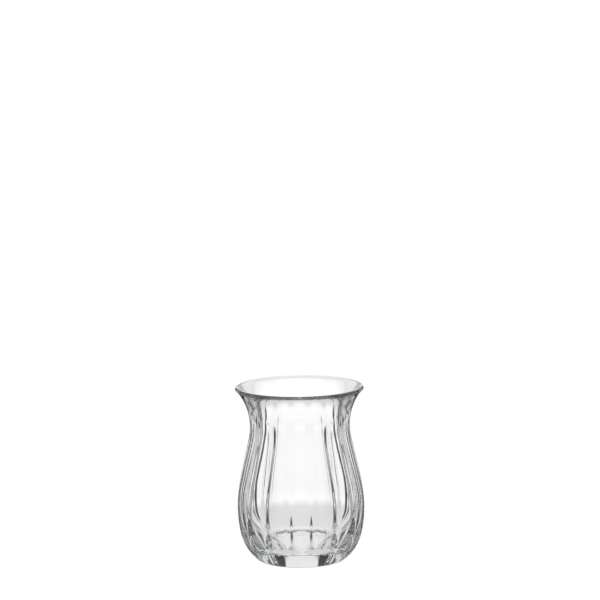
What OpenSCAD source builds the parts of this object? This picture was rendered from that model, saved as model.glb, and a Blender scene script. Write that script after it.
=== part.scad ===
// Waisted tea glass: one continuous piece of clear pressed glass with upright flutes.
// Millimetres, +Z up. The origin is the centre of the ring that the glass stands on.

/* [Overall] */
// Height from the table to the top of the lip
height = 86; // [70:0.5:105]
// Outside radius of the rounded lip
mouth_radius = 31.4; // [27:0.1:38]
// Outside radius at the narrowest part of the neck, over the ribs
neck_radius = 24.6; // [20:0.1:27]
// Height of the narrowest part of the neck
neck_height = 67.25; // [50:0.25:74]
// Outside radius at the widest part of the belly, over the ribs
belly_radius = 31.4; // [28:0.1:38]
// Height of the widest part of the belly
belly_height = 27.25; // [22:0.25:36]
// Radius at which the rounded heel meets the table
foot_radius = 19.6; // [15:0.1:22]

/* [Outside curves] */
// Radius of the belly's curve, as a share of one that would run straight on into the waist's
belly_share = 0.5; // [0.3:0.01:0.6]
// Radius of the hollow curve under the neck, as a share of the same
waist_share = 0.3; // [0.15:0.01:0.38]
// Height at which the belly's curve hands over to the lower one, as a share of the belly's height
lower_share = 0.53; // [0.4:0.01:0.7]
// Radius of the rounded heel
heel_curve = 4; // [2:0.25:6]

/* [Wall and cavity] */
// Wall thickness at the belly and the neck, over the ribs
wall = 3.6; // [2.4:0.1:4.5]
// Thickness that the wall tapers to at the lip, which is rounded across it
lip_width = 1.9; // [1.4:0.1:3]
// Thickness of the solid glass between the table and the inside floor
floor_height = 8; // [5:0.25:12]
// Radius of the flat inside floor
floor_radius = 17; // [12:0.1:19]
// Radius of the corner between the floor and the inside of the belly
corner_curve = 4.5; // [2:0.25:7]

/* [Flutes] */
// Number of flutes around the glass
flutes = 16; // [10:1:18]
// Width of the raised rib between two flutes, at the belly
rib_width = 3.4; // [2:0.1:6]
// Depth of each flute below the ribs
flute_depth = 0.45; // [0.3:0.05:0.8]
// Curve that lifts the flute out of the glass above the neck, as a share of the flare's curve
runout_share = 0.68; // [0.5:0.02:0.8]

/* [Underside] */
// Width of the flat ring that the glass stands on
ring_width = 2.6; // [1.5:0.1:5]
// Height of the shallow dome inside the standing ring
dome_height = 1.2; // [0.4:0.1:2.5]

/* [Detail] */
// Number of straight steps that draw each curve of the section
curve_steps = 6; // [4:2:12]

/* [Hidden] */
// Fineness of the round preview
$fn = 120;
// Overlap that keeps a cutting tool clear of the face that it starts on
over = 1;
// Angles on a full turn
quarter = 90;
half = 180;

// Point at a distance from another, at an angle above level
function along(point, angle, distance) = point + distance * [cos(angle), sin(angle)];

// Angle above level from one point to another
function angle_to(from, to) = atan2(to[1] - from[1], to[0] - from[0]);

// Radius of the curve that leaves a point square to a normal and then touches a small circle whose
// middle is a step away. The small circle lies inside the curve, or outside it if its radius is negative.
function touching(step, normal, small) = (step * step - small * small) / (2 * (step * normal - small));

// Points on a curve after its start, up to and with its end
function arc(centre, radius, start, end, steps = curve_steps) = [
    for (i = [1 : steps]) along(centre, start + (end - start) * i / steps, radius)
];

// Radius of belly and waist curves if one ran straight on into the other, shared out between them.
// What their shares leave over is a straight part that touches both.
waist_in = belly_radius - neck_radius;
waist_up = neck_height - belly_height;
reach = (waist_in * waist_in + waist_up * waist_up) / (2 * waist_in);
belly_curve = belly_share * reach;
waist_curve = waist_share * reach;
belly_centre = [belly_radius - belly_curve, belly_height];
waist_centre = [neck_radius + waist_curve, neck_height];
// Angle above level of the straight part's normal
slope_angle = angle_to(belly_centre, waist_centre)
    - acos((belly_curve + waist_curve) / norm(waist_centre - belly_centre));

// Lower curve, from the belly's down to the heel
lower_angle = asin((1 - lower_share) * belly_height / belly_curve);
heel_centre = [foot_radius, heel_curve];
lower_start = along(belly_centre, -lower_angle, belly_curve);
lower_curve = touching(lower_start - heel_centre, along([0, 0], -lower_angle, 1), heel_curve);
lower_centre = along(lower_start, half - lower_angle, lower_curve);
heel_angle = -angle_to(lower_centre, heel_centre);

// Lip, a half circle across the end of the wall, and the flare's outside and inside up to it
lip_radius = lip_width / 2;
lip_centre = [mouth_radius - lip_radius, height - lip_radius];
flare_curve = touching(lip_centre - [neck_radius, neck_height], [1, 0], -lip_radius);
flare_centre = [neck_radius + flare_curve, neck_height];
flare_turn = half - angle_to(flare_centre, lip_centre);
inner_flare_curve = touching(lip_centre - [neck_radius - wall, neck_height], [1, 0], lip_radius);
inner_flare_centre = [neck_radius - wall + inner_flare_curve, neck_height];
inner_flare_turn = half - angle_to(inner_flare_centre, lip_centre);

// Inside of the belly, from its widest part down to the corner of the floor
corner_centre = [floor_radius, floor_height + corner_curve];
inside_curve = touching([belly_radius - wall, belly_height] - corner_centre, [1, 0], corner_curve);
inside_centre = [belly_radius - wall - inside_curve, belly_height];
corner_angle = -angle_to(inside_centre, corner_centre);

// Dome that hollows the underside
dome_radius = foot_radius - ring_width;
dome_curve = (dome_radius * dome_radius + dome_height * dome_height) / (2 * dome_height);
dome_angle = asin(dome_radius / dome_curve);

// Flute's cutting tool: its turn about the axis, a radius outside everything for its back, the angle
// below level at which it has passed the table, and the curve that lifts it out above the neck
flute_turn = 2 * half / flutes - 2 * asin(rib_width / 2 / belly_radius);
far = belly_radius + mouth_radius;
tool_low = asin((lower_centre[1] + over) / (lower_curve - flute_depth));
runout_curve = runout_share * flare_curve;
runout_centre = [neck_radius - flute_depth + runout_curve, neck_height];
runout_turn = quarter / 2;

// The outside from the top of the straight part to the neck, moved inwards by an inset
function waist(inset) = concat(
    [along(waist_centre, half + slope_angle, waist_curve + inset)],
    arc(waist_centre, waist_curve + inset, half + slope_angle, half)
);

// Section of the whole glass on one side of the axis, once round from the dome's middle
module glass_section() {
    polygon(concat(
        // Underside: dome, standing ring, heel
        [[0, dome_height]],
        arc([0, dome_height - dome_curve], dome_curve, quarter, quarter - dome_angle),
        [[foot_radius, 0]],
        arc(heel_centre, heel_curve, -quarter, -heel_angle),
        // Outside: lower curve, belly, waist, flare, lip
        arc(lower_centre, lower_curve, -heel_angle, -lower_angle),
        arc(belly_centre, belly_curve, -lower_angle, 0, curve_steps / 2),
        arc(belly_centre, belly_curve, 0, slope_angle, curve_steps / 2),
        waist(0),
        arc(flare_centre, flare_curve, half, half - flare_turn),
        arc(lip_centre, lip_radius, -flare_turn, 0, curve_steps / 2),
        arc(lip_centre, lip_radius, 0, quarter, curve_steps / 2),
        arc(lip_centre, lip_radius, quarter, half - inner_flare_turn, curve_steps / 2),
        // Inside: flare, waist, belly, down to the corner and the flat floor
        arc(inner_flare_centre, inner_flare_curve, half - inner_flare_turn, half),
        arc(waist_centre, waist_curve + wall, half, half + slope_angle),
        [along(belly_centre, slope_angle, belly_curve - wall)],
        arc(belly_centre, belly_curve - wall, slope_angle, 0),
        arc(inside_centre, inside_curve, 0, -corner_angle),
        arc(corner_centre, corner_curve, -corner_angle, -quarter),
        [[0, floor_height]]
    ));
}

// Tool that sinks one flute into the outside, from the +X direction round towards +Y
module flute_tool() {
    rotate_extrude(angle = flute_turn)
        polygon(concat(
            [[far, -over]],
            [along(lower_centre, -tool_low, lower_curve - flute_depth)],
            arc(lower_centre, lower_curve - flute_depth, -tool_low, -lower_angle),
            arc(belly_centre, belly_curve - flute_depth, -lower_angle, slope_angle),
            waist(flute_depth),
            arc(runout_centre, runout_curve, half, half - runout_turn),
            [[far, runout_centre[1] + runout_curve * sin(runout_turn)]]
        ));
}

// The whole glass: lip, neck, belly, foot and thick base in one continuous piece.
// The middle of a flute faces the front at -Y.
module tea_glass() {
    color([0.93, 0.97, 0.96, 0.45])
        difference() {
            rotate_extrude() glass_section();
            for (i = [0 : flutes - 1])
                rotate([0, 0, i * 2 * half / flutes - flute_turn / 2 - quarter])
                    flute_tool();
        }
}

tea_glass();
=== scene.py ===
import math

import bpy
from mathutils import Matrix, Vector


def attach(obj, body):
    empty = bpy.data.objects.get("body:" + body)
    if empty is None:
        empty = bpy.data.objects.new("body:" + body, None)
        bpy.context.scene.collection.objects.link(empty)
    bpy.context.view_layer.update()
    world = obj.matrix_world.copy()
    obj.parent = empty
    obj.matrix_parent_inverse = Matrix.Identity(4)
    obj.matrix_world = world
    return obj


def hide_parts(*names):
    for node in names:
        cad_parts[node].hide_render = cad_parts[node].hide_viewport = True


# A waisted tea glass of clear pressed glass on a plain pale floor.
# The camera, light and floor are set up like a small studio with a bright sweep behind the glass.

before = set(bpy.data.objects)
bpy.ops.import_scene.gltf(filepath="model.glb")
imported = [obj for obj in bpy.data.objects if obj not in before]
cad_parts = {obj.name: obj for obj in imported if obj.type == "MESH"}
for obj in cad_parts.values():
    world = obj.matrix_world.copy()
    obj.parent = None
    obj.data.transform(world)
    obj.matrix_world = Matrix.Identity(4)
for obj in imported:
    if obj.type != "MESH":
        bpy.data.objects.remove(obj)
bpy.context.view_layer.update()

MM = 0.001
WHITE = (1.0, 1.0, 1.0, 1.0)
BLACK = (0.0, 0.0, 0.0, 1.0)

# Sizes of the glass in millimetres, the same as in the CAD model
HEIGHT = 86.0
MOUTH_RADIUS = 31.4
NECK_RADIUS = 24.6
NECK_HEIGHT = 67.25
BELLY_RADIUS = 31.4
BELLY_HEIGHT = 27.25
FOOT_RADIUS = 19.6

# Outside curves: the belly's and the waist's radius as shares of a curve that would run straight
# from one into the other, the height at which the lower curve takes over from the belly's as a
# share of the belly's height, and the radius of the heel
BELLY_SHARE = 0.5
WAIST_SHARE = 0.3
LOWER_SHARE = 0.53
HEEL_CURVE = 4.0

# Wall and cavity
WALL = 3.6
LIP_WIDTH = 1.9
FLOOR_HEIGHT = 8.0
FLOOR_RADIUS = 17.0
CORNER_CURVE = 4.5

# Underside
RING_WIDTH = 2.6
DOME_HEIGHT = 1.2

# Lip, a half circle across the end of the wall
LIP_RADIUS = LIP_WIDTH / 2
LIP_CENTRE = (MOUTH_RADIUS - LIP_RADIUS, HEIGHT - LIP_RADIUS)

# Flutes: how many, their depth, and in degrees about the axis the width of the flank on each side and
# the place of its middle, by height. They fade a little towards the foot, and above the neck they
# run out into the round glass.
FLUTES = 16
FLUTE_TURN = 360 / FLUTES
FLUTE_DEPTH = 0.45
FLANK_ANGLE = 3.6
EDGE_LOW = 31.0
EDGE_LOW_ANGLE = 8.7
EDGE_HIGH = 62.0
EDGE_HIGH_ANGLE = 7.0
FOOT_FADE = 0.25
FOOT_FADE_LOW = 10.0
FOOT_FADE_HIGH = 24.0
RUNOUT_LOW = 66.0
RUNOUT_HIGH = 74.0

# Steps that draw each part of the section
DOME_STEPS = 8
RING_STEPS = 3
HEEL_STEPS = 10
LOWER_STEPS = 20
BELLY_STEPS = 24
WAIST_STEPS = 12
FLARE_STEPS = 20
LIP_STEPS = 16
INNER_FLARE_STEPS = 16
INNER_WAIST_STEPS = 10
INNER_BELLY_STEPS = 12
INNER_LOWER_STEPS = 18
CORNER_STEPS = 10
FLOOR_STEPS = 4
# Stretches from a flute's middle to the middle of the next rib, and the columns that draw each
STRETCHES = (("floor", 4), ("flank", 8), ("rib", 4))


def along(point, angle, distance):
    """The point at a distance from another, at an angle in degrees above level."""
    a = math.radians(angle)
    return point[0] + distance * math.cos(a), point[1] + distance * math.sin(a)


def arc(centre, radius, start, end, steps):
    """Points on a curve after its start, up to and with its end."""
    return [along(centre, start + (end - start) * i / steps, radius) for i in range(1, steps + 1)]


def smooth(value):
    """A soft step from 0 to 1."""
    t = min(max(value, 0.0), 1.0)
    return t * t * (3 - 2 * t)


def angle_to(start, end):
    """Angle in degrees above level from one point to another."""
    return math.degrees(math.atan2(end[1] - start[1], end[0] - start[0]))


def touching(start, centre, normal, small):
    """Radius of the curve that leaves a point square to a normal and then touches a small circle.

    The circle lies inside the curve, or outside it where its radius is negative.
    """
    step = start[0] - centre[0], start[1] - centre[1]
    reach = step[0] ** 2 + step[1] ** 2 - small ** 2
    return reach / (2 * (step[0] * normal[0] + step[1] * normal[1] - small))


def belly_and_waist():
    """Centre and radius of the belly's curve and of the waist's, and the slope of the part between."""
    across, up = BELLY_RADIUS - NECK_RADIUS, NECK_HEIGHT - BELLY_HEIGHT
    reach = (across ** 2 + up ** 2) / (2 * across)
    belly_curve, waist_curve = BELLY_SHARE * reach, WAIST_SHARE * reach
    belly = BELLY_RADIUS - belly_curve, BELLY_HEIGHT
    waist = NECK_RADIUS + waist_curve, NECK_HEIGHT
    both = (belly_curve + waist_curve) / math.dist(belly, waist)
    slope = angle_to(belly, waist) - math.degrees(math.acos(both))
    return belly, belly_curve, waist, waist_curve, slope


def flare(neck, lip):
    """Centre, radius and turn of the curve from a radius at the neck up to where it touches the lip."""
    curve = touching(LIP_CENTRE, (neck, NECK_HEIGHT), (1, 0), lip)
    centre = neck + curve, NECK_HEIGHT
    return centre, curve, 180 - angle_to(centre, LIP_CENTRE)


def underside():
    """Section of the underside: the dome and the ring that the glass stands on."""
    radius = FOOT_RADIUS - RING_WIDTH
    curve = (radius ** 2 + DOME_HEIGHT ** 2) / (2 * DOME_HEIGHT)
    turn = math.degrees(math.asin(radius / curve))
    points = arc((0, DOME_HEIGHT - curve), curve, 90, 90 - turn, DOME_STEPS)
    points += [(radius + RING_WIDTH * k / RING_STEPS, 0) for k in range(1, RING_STEPS + 1)]
    return points


def outside():
    """Section of the outside: heel, lower curve, belly, straight part, waist and flare."""
    belly, belly_curve, waist, waist_curve, slope = belly_and_waist()
    flare_centre, flare_curve, flare_turn = flare(NECK_RADIUS, -LIP_RADIUS)
    heel = FOOT_RADIUS, HEEL_CURVE
    lower_angle = math.degrees(math.asin((1 - LOWER_SHARE) * BELLY_HEIGHT / belly_curve))
    join = along(belly, -lower_angle, belly_curve)
    lower_curve = touching(join, heel, along((0, 0), -lower_angle, 1), HEEL_CURVE)
    lower = along(join, 180 - lower_angle, lower_curve)
    heel_angle = -angle_to(lower, heel)
    points = arc(heel, HEEL_CURVE, -90, -heel_angle, HEEL_STEPS)
    points += arc(lower, lower_curve, -heel_angle, -lower_angle, LOWER_STEPS)
    points += arc(belly, belly_curve, -lower_angle, slope, BELLY_STEPS)
    points += [along(waist, 180 + slope, waist_curve)]
    points += arc(waist, waist_curve, 180 + slope, 180, WAIST_STEPS)
    points += arc(flare_centre, flare_curve, 180, 180 - flare_turn, FLARE_STEPS)
    return points


def lip_and_inside():
    """Section of the lip and the inside: flare, waist, straight part, belly, corner and flat floor."""
    belly, belly_curve, waist, waist_curve, slope = belly_and_waist()
    outer_turn = flare(NECK_RADIUS, -LIP_RADIUS)[2]
    flare_centre, flare_curve, inner_turn = flare(NECK_RADIUS - WALL, LIP_RADIUS)
    corner = FLOOR_RADIUS, FLOOR_HEIGHT + CORNER_CURVE
    lower_curve = touching((BELLY_RADIUS - WALL, BELLY_HEIGHT), corner, (1, 0), CORNER_CURVE)
    lower = BELLY_RADIUS - WALL - lower_curve, BELLY_HEIGHT
    corner_angle = -angle_to(lower, corner)
    points = arc(LIP_CENTRE, LIP_RADIUS, -outer_turn, 180 - inner_turn, LIP_STEPS)
    points += arc(flare_centre, flare_curve, 180 - inner_turn, 180, INNER_FLARE_STEPS)
    points += arc(waist, waist_curve + WALL, 180, 180 + slope, INNER_WAIST_STEPS)
    points += [along(belly, slope, belly_curve - WALL)]
    points += arc(belly, belly_curve - WALL, slope, 0, INNER_BELLY_STEPS)
    points += arc(lower, lower_curve, 0, -corner_angle, INNER_LOWER_STEPS)
    points += arc(corner, CORNER_CURVE, -corner_angle, -90, CORNER_STEPS)
    points += [(FLOOR_RADIUS * (1 - (k + 0.5) / FLOOR_STEPS), FLOOR_HEIGHT) for k in range(FLOOR_STEPS)]
    return points


def flute_share(height):
    """Share of the flutes' depth at a height: none under the heel and above the run-out."""
    foot = 1 - FOOT_FADE * smooth((FOOT_FADE_HIGH - height) / (FOOT_FADE_HIGH - FOOT_FADE_LOW))
    runout = 1 - smooth((height - RUNOUT_LOW) / (RUNOUT_HIGH - RUNOUT_LOW))
    return foot * runout * smooth(height / HEEL_CURVE)


def section():
    """The glass's section as (radius, height, share of the flutes), once round from the axis below."""
    points = [(radius, height, 0.0) for radius, height in underside()]
    points += [(radius, height, flute_share(height)) for radius, height in outside()]
    points += [(radius, height, 0.0) for radius, height in lip_and_inside()]
    return points


def column_depth(stretch, place):
    """Depth share of a column: full on the flute's floor, none on the rib, and soft on the flank."""
    shares = {"floor": 1.0, "flank": 0.5 * (1 - place) + 0.5 * (1 - smooth(place)), "rib": 0.0}
    return shares[stretch]


def column_angle(stretch, place, height):
    """Angle in degrees of a column from the flute's middle, at a height."""
    share = min(max((height - EDGE_LOW) / (EDGE_HIGH - EDGE_LOW), 0.0), 1.0)
    middle = EDGE_LOW_ANGLE + (EDGE_HIGH_ANGLE - EDGE_LOW_ANGLE) * smooth(share)
    low, high = middle - FLANK_ANGLE / 2, middle + FLANK_ANGLE / 2
    ends = {"floor": (0.0, low), "flank": (low, high), "rib": (high, FLUTE_TURN / 2)}[stretch]
    return ends[0] + (ends[1] - ends[0]) * place


def flute_columns(height):
    """Columns from one flute's middle to the next one's, at a height: (angle, depth share)."""
    columns = []
    for stretch, count in STRETCHES:
        for k in range(count):
            place = k / count
            columns.append((column_angle(stretch, place, height), column_depth(stretch, place)))
    for stretch, count in reversed(STRETCHES):
        for k in range(count):
            place = 1 - k / count
            angle = FLUTE_TURN - column_angle(stretch, place, height)
            columns.append((angle, column_depth(stretch, place)))
    return columns


def skin_row(radius, height, share):
    """One row of the section carried round the axis, with the flutes pressed into it."""
    columns = flute_columns(height)
    row = []
    for flute in range(FLUTES):
        for angle, depth in columns:
            turn = math.radians(angle + flute * FLUTE_TURN)
            r = radius * (1 - depth * share * FLUTE_DEPTH / BELLY_RADIUS) * MM
            row.append((r * math.sin(turn), -r * math.cos(turn), height * MM))
    return row


def skin_faces(rows, count):
    """Faces of a skin of rows of points, with a single point on the axis before and after them."""
    faces = [(0, 1 + (j + 1) % count, 1 + j) for j in range(count)]
    for row in range(rows - 1):
        low = 1 + row * count
        high = low + count
        for j in range(count):
            k = (j + 1) % count
            faces.append((low + j, low + k, high + k, high + j))
    last = 1 + (rows - 1) * count
    faces += [(last + j, last + (j + 1) % count, last + count) for j in range(count)]
    return faces


def make_glass():
    """The whole glass as one closed skin."""
    rows = [skin_row(*point) for point in section()]
    verts = [(0, 0, DOME_HEIGHT * MM)]
    for row in rows:
        verts += row
    verts.append((0, 0, FLOOR_HEIGHT * MM))
    mesh = bpy.data.meshes.new("tea_glass_skin")
    mesh.from_pydata(verts, [], skin_faces(len(rows), len(rows[0])))
    mesh.update()
    mesh.shade_smooth()
    glass = bpy.data.objects.new("tea_glass_skin", mesh)
    bpy.context.scene.collection.objects.link(glass)
    return glass


# Light that the glass lets through along its inside, and how quickly it takes the rest
GLASS_TINT = (0.5, 0.52, 0.52, 1.0)
GLASS_DENSITY = 18.0
GLASS_IOR = 1.52
# Pressed glass: slow waves of the surface a few millimetres long, and a polish that varies a little
WAVE_SCALE = 140.0
WAVE_DETAIL = 1.0
WAVE_DEPTH = 0.005 * MM
POLISH_SCALE = 60.0
POLISH_DETAIL = 3.0
POLISH_NOISE = (0.45, 0.75)
POLISH_ROUGHNESS = (0.0, 0.006)


def noise(tree, coordinates, scale, detail):
    """A noise pattern over the object's own coordinates."""
    node = tree.nodes.new("ShaderNodeTexNoise")
    node.inputs["Scale"].default_value = scale
    node.inputs["Detail"].default_value = detail
    tree.links.new(coordinates, node.inputs["Vector"])
    return node.outputs[0]


def glass_material():
    """Clear pressed glass: faint waves, an uneven polish and a slight cool tint along its inside."""
    material = bpy.data.materials.new("clear_pressed_glass")
    material.use_nodes = True
    tree = material.node_tree
    shader = tree.nodes["Principled BSDF"]
    shader.inputs["Base Color"].default_value = WHITE
    shader.inputs["Transmission Weight"].default_value = 1.0
    shader.inputs["IOR"].default_value = GLASS_IOR
    place = tree.nodes.new("ShaderNodeTexCoord").outputs["Object"]
    polish = tree.nodes.new("ShaderNodeMapRange")
    polish.inputs["From Min"].default_value = POLISH_NOISE[0]
    polish.inputs["From Max"].default_value = POLISH_NOISE[1]
    polish.inputs["To Min"].default_value = POLISH_ROUGHNESS[0]
    polish.inputs["To Max"].default_value = POLISH_ROUGHNESS[1]
    tree.links.new(noise(tree, place, POLISH_SCALE, POLISH_DETAIL), polish.inputs["Value"])
    tree.links.new(polish.outputs[0], shader.inputs["Roughness"])
    waves = tree.nodes.new("ShaderNodeBump")
    waves.inputs["Strength"].default_value = 1.0
    waves.inputs["Distance"].default_value = WAVE_DEPTH
    tree.links.new(noise(tree, place, WAVE_SCALE, WAVE_DETAIL), waves.inputs["Height"])
    tree.links.new(waves.outputs[0], shader.inputs["Normal"])
    absorption = tree.nodes.new("ShaderNodeVolumeAbsorption")
    absorption.inputs["Color"].default_value = GLASS_TINT
    absorption.inputs["Density"].default_value = GLASS_DENSITY
    tree.links.new(absorption.outputs[0], tree.nodes["Material Output"].inputs["Volume"])
    return material


# Half the width of the pale floor, in metres
FLOOR_REACH = 3.0


def floor_material():
    """A floor that is evenly white and takes no shadow."""
    material = bpy.data.materials.new("floor_pale")
    material.use_nodes = True
    shader = material.node_tree.nodes["Principled BSDF"]
    shader.inputs["Base Color"].default_value = BLACK
    shader.inputs["Specular IOR Level"].default_value = 0.0
    shader.inputs["Emission Color"].default_value = WHITE
    shader.inputs["Emission Strength"].default_value = 1.0
    return material


def make_floor():
    """The floor as the camera sees it. Through the glass and in it, the studio's table shows."""
    corners = [(-1, -1), (1, -1), (1, 1), (-1, 1)]
    verts = [(x * FLOOR_REACH, y * FLOOR_REACH, 0) for x, y in corners]
    mesh = bpy.data.meshes.new("floor")
    mesh.from_pydata(verts, [], [(0, 1, 2, 3)])
    mesh.materials.append(floor_material())
    floor = bpy.data.objects.new("floor", mesh)
    bpy.context.scene.collection.objects.link(floor)
    floor.visible_transmission = False
    floor.visible_glossy = False


# Light of the studio, as (angle, light) stops. By the angle above level it is brightest from a little
# below level upwards, and greyest 17 to 20 degrees below. By the angle either way from straight
# behind the glass it is a white sweep, a black card, grey with a narrower card in it, a dark gap, and
# a second sweep behind the camera. The table is pale all round below.
STUDIO_STRENGTH = 1.3
LIGHT_BY_HEIGHT = [(-90, 0.75), (-30, 0.7), (-20, 0.64), (-17, 0.64), (-14, 0.86), (-12, 0.87),
                   (-11.2, 0.83), (-10.6, 0.82), (-9, 0.9), (-8, 1.0), (30, 1.0), (90, 0.6)]
LIGHT_BY_TURN = [(0, 1.0), (12, 1.0), (13.2, 0.0), (22, 0.0), (26, 0.75), (43, 0.75), (45, 0.02),
                 (50, 0.02), (53, 0.5), (100, 0.5), (108, 0.03), (124, 0.03), (132, 0.5), (180, 0.55)]
TABLE_BY_HEIGHT = [(-90, 0.8), (-38, 0.8), (-26, 0.0), (90, 0.0)]


def ramp(tree, source, stops):
    """A colour ramp through (position, grey) stops."""
    node = tree.nodes.new("ShaderNodeValToRGB")
    tree.links.new(source, node.inputs[0])
    elements = node.color_ramp.elements
    while len(elements) < len(stops):
        elements.new(0.5)
    for element, (position, grey) in zip(elements, stops):
        element.position = position
        element.color = (grey, grey, grey, 1)
    return node.outputs[0]


def math_node(tree, operation, first, second=None):
    """A maths node of two values, each a socket or a number."""
    node = tree.nodes.new("ShaderNodeMath")
    node.operation = operation
    for socket, value in zip(node.inputs, (first, second)):
        if isinstance(value, (int, float)):
            socket.default_value = value
        elif value is not None:
            tree.links.new(value, socket)
    return node.outputs[0]


def make_studio():
    """Bright sweeps before and behind the glass, with dark cards between them on each side."""
    world = bpy.data.worlds.new("studio")
    bpy.context.scene.world = world
    world.use_nodes = True
    tree = world.node_tree
    tree.nodes.clear()
    output = tree.nodes.new("ShaderNodeOutputWorld")
    background = tree.nodes.new("ShaderNodeBackground")
    tree.links.new(background.outputs[0], output.inputs[0])
    coordinates = tree.nodes.new("ShaderNodeTexCoord")
    parts = tree.nodes.new("ShaderNodeSeparateXYZ")
    tree.links.new(coordinates.outputs["Generated"], parts.inputs[0])
    side = math_node(tree, "ABSOLUTE", parts.outputs[0])
    turn = math_node(tree, "DIVIDE", math_node(tree, "ARCTAN2", side, parts.outputs[1]), math.pi)
    rise = math_node(tree, "DIVIDE", math_node(tree, "ARCSINE", parts.outputs[2]), math.pi)
    height = math_node(tree, "ADD", rise, 0.5)

    def by_turn(stops):
        return ramp(tree, turn, [(angle / 180, grey) for angle, grey in stops])

    def by_height(stops):
        return ramp(tree, height, [(0.5 + angle / 180, grey) for angle, grey in stops])

    around = math_node(tree, "MAXIMUM", by_turn(LIGHT_BY_TURN), by_height(TABLE_BY_HEIGHT))
    light = math_node(tree, "MULTIPLY", by_height(LIGHT_BY_HEIGHT), around)
    tree.links.new(light, background.inputs[0])
    background.inputs[1].default_value = STUDIO_STRENGTH


# Camera: the photograph is 600 pixels square and one pixel is 0.49 mm at the glass
PIXEL = 0.49 * MM
FRAME_PIXELS = 600
SENSOR_WIDTH = 36
CAMERA_DISTANCE = 1.5
CAMERA_HEIGHT_ANGLE = 11.5
CAMERA_ROLL = 0.85
CAMERA_NEAR = 0.05
CAMERA_FAR = 20
# Pixel at which the point AIM_HEIGHT up the glass's axis shows before the roll
AIM_HEIGHT = 43 * MM
AIM_PIXEL = (298.0, 472.5)


def make_camera():
    """Look at the axis from the front, a little from above, and place the glass low in the frame."""
    data = bpy.data.cameras.new("camera")
    data.sensor_width = SENSOR_WIDTH
    data.sensor_fit = "HORIZONTAL"
    data.lens = SENSOR_WIDTH * CAMERA_DISTANCE / (FRAME_PIXELS * PIXEL)
    data.clip_start = CAMERA_NEAR
    data.clip_end = CAMERA_FAR
    camera = bpy.data.objects.new("camera", data)
    bpy.context.scene.collection.objects.link(camera)
    bpy.context.scene.camera = camera
    tilt = math.radians(CAMERA_HEIGHT_ANGLE)
    back = Vector((0, -math.cos(tilt), math.sin(tilt)))
    camera.location = Vector((0, 0, AIM_HEIGHT)) + back * CAMERA_DISTANCE
    turn = back.to_track_quat("Z", "Y").to_matrix()
    off_x = math.atan2((AIM_PIXEL[0] - FRAME_PIXELS / 2) * PIXEL, CAMERA_DISTANCE)
    off_y = math.atan2((AIM_PIXEL[1] - FRAME_PIXELS / 2) * PIXEL, CAMERA_DISTANCE)
    pan = Matrix.Rotation(off_x, 3, "Y")
    pitch = Matrix.Rotation(off_y, 3, "X")
    roll = Matrix.Rotation(math.radians(-CAMERA_ROLL), 3, "Z")
    camera.rotation_euler = (turn @ pan @ pitch @ roll).to_euler()


# Light bounces many times inside the wall of a glass before it leaves it
BOUNCES = 32
GLASS_BOUNCES = 24


def allow_bounces():
    """Follow light through enough bounces that the glass under the rim and in the base isn't black."""
    cycles = bpy.context.scene.cycles
    cycles.max_bounces = BOUNCES
    cycles.glossy_bounces = GLASS_BOUNCES
    cycles.transmission_bounces = GLASS_BOUNCES


make_camera()
make_studio()
make_floor()
glass = make_glass()
glass.data.materials.append(glass_material())
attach(glass, "root")
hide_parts("tea_glass")
bpy.context.scene.view_settings.view_transform = "Standard"
allow_bounces()
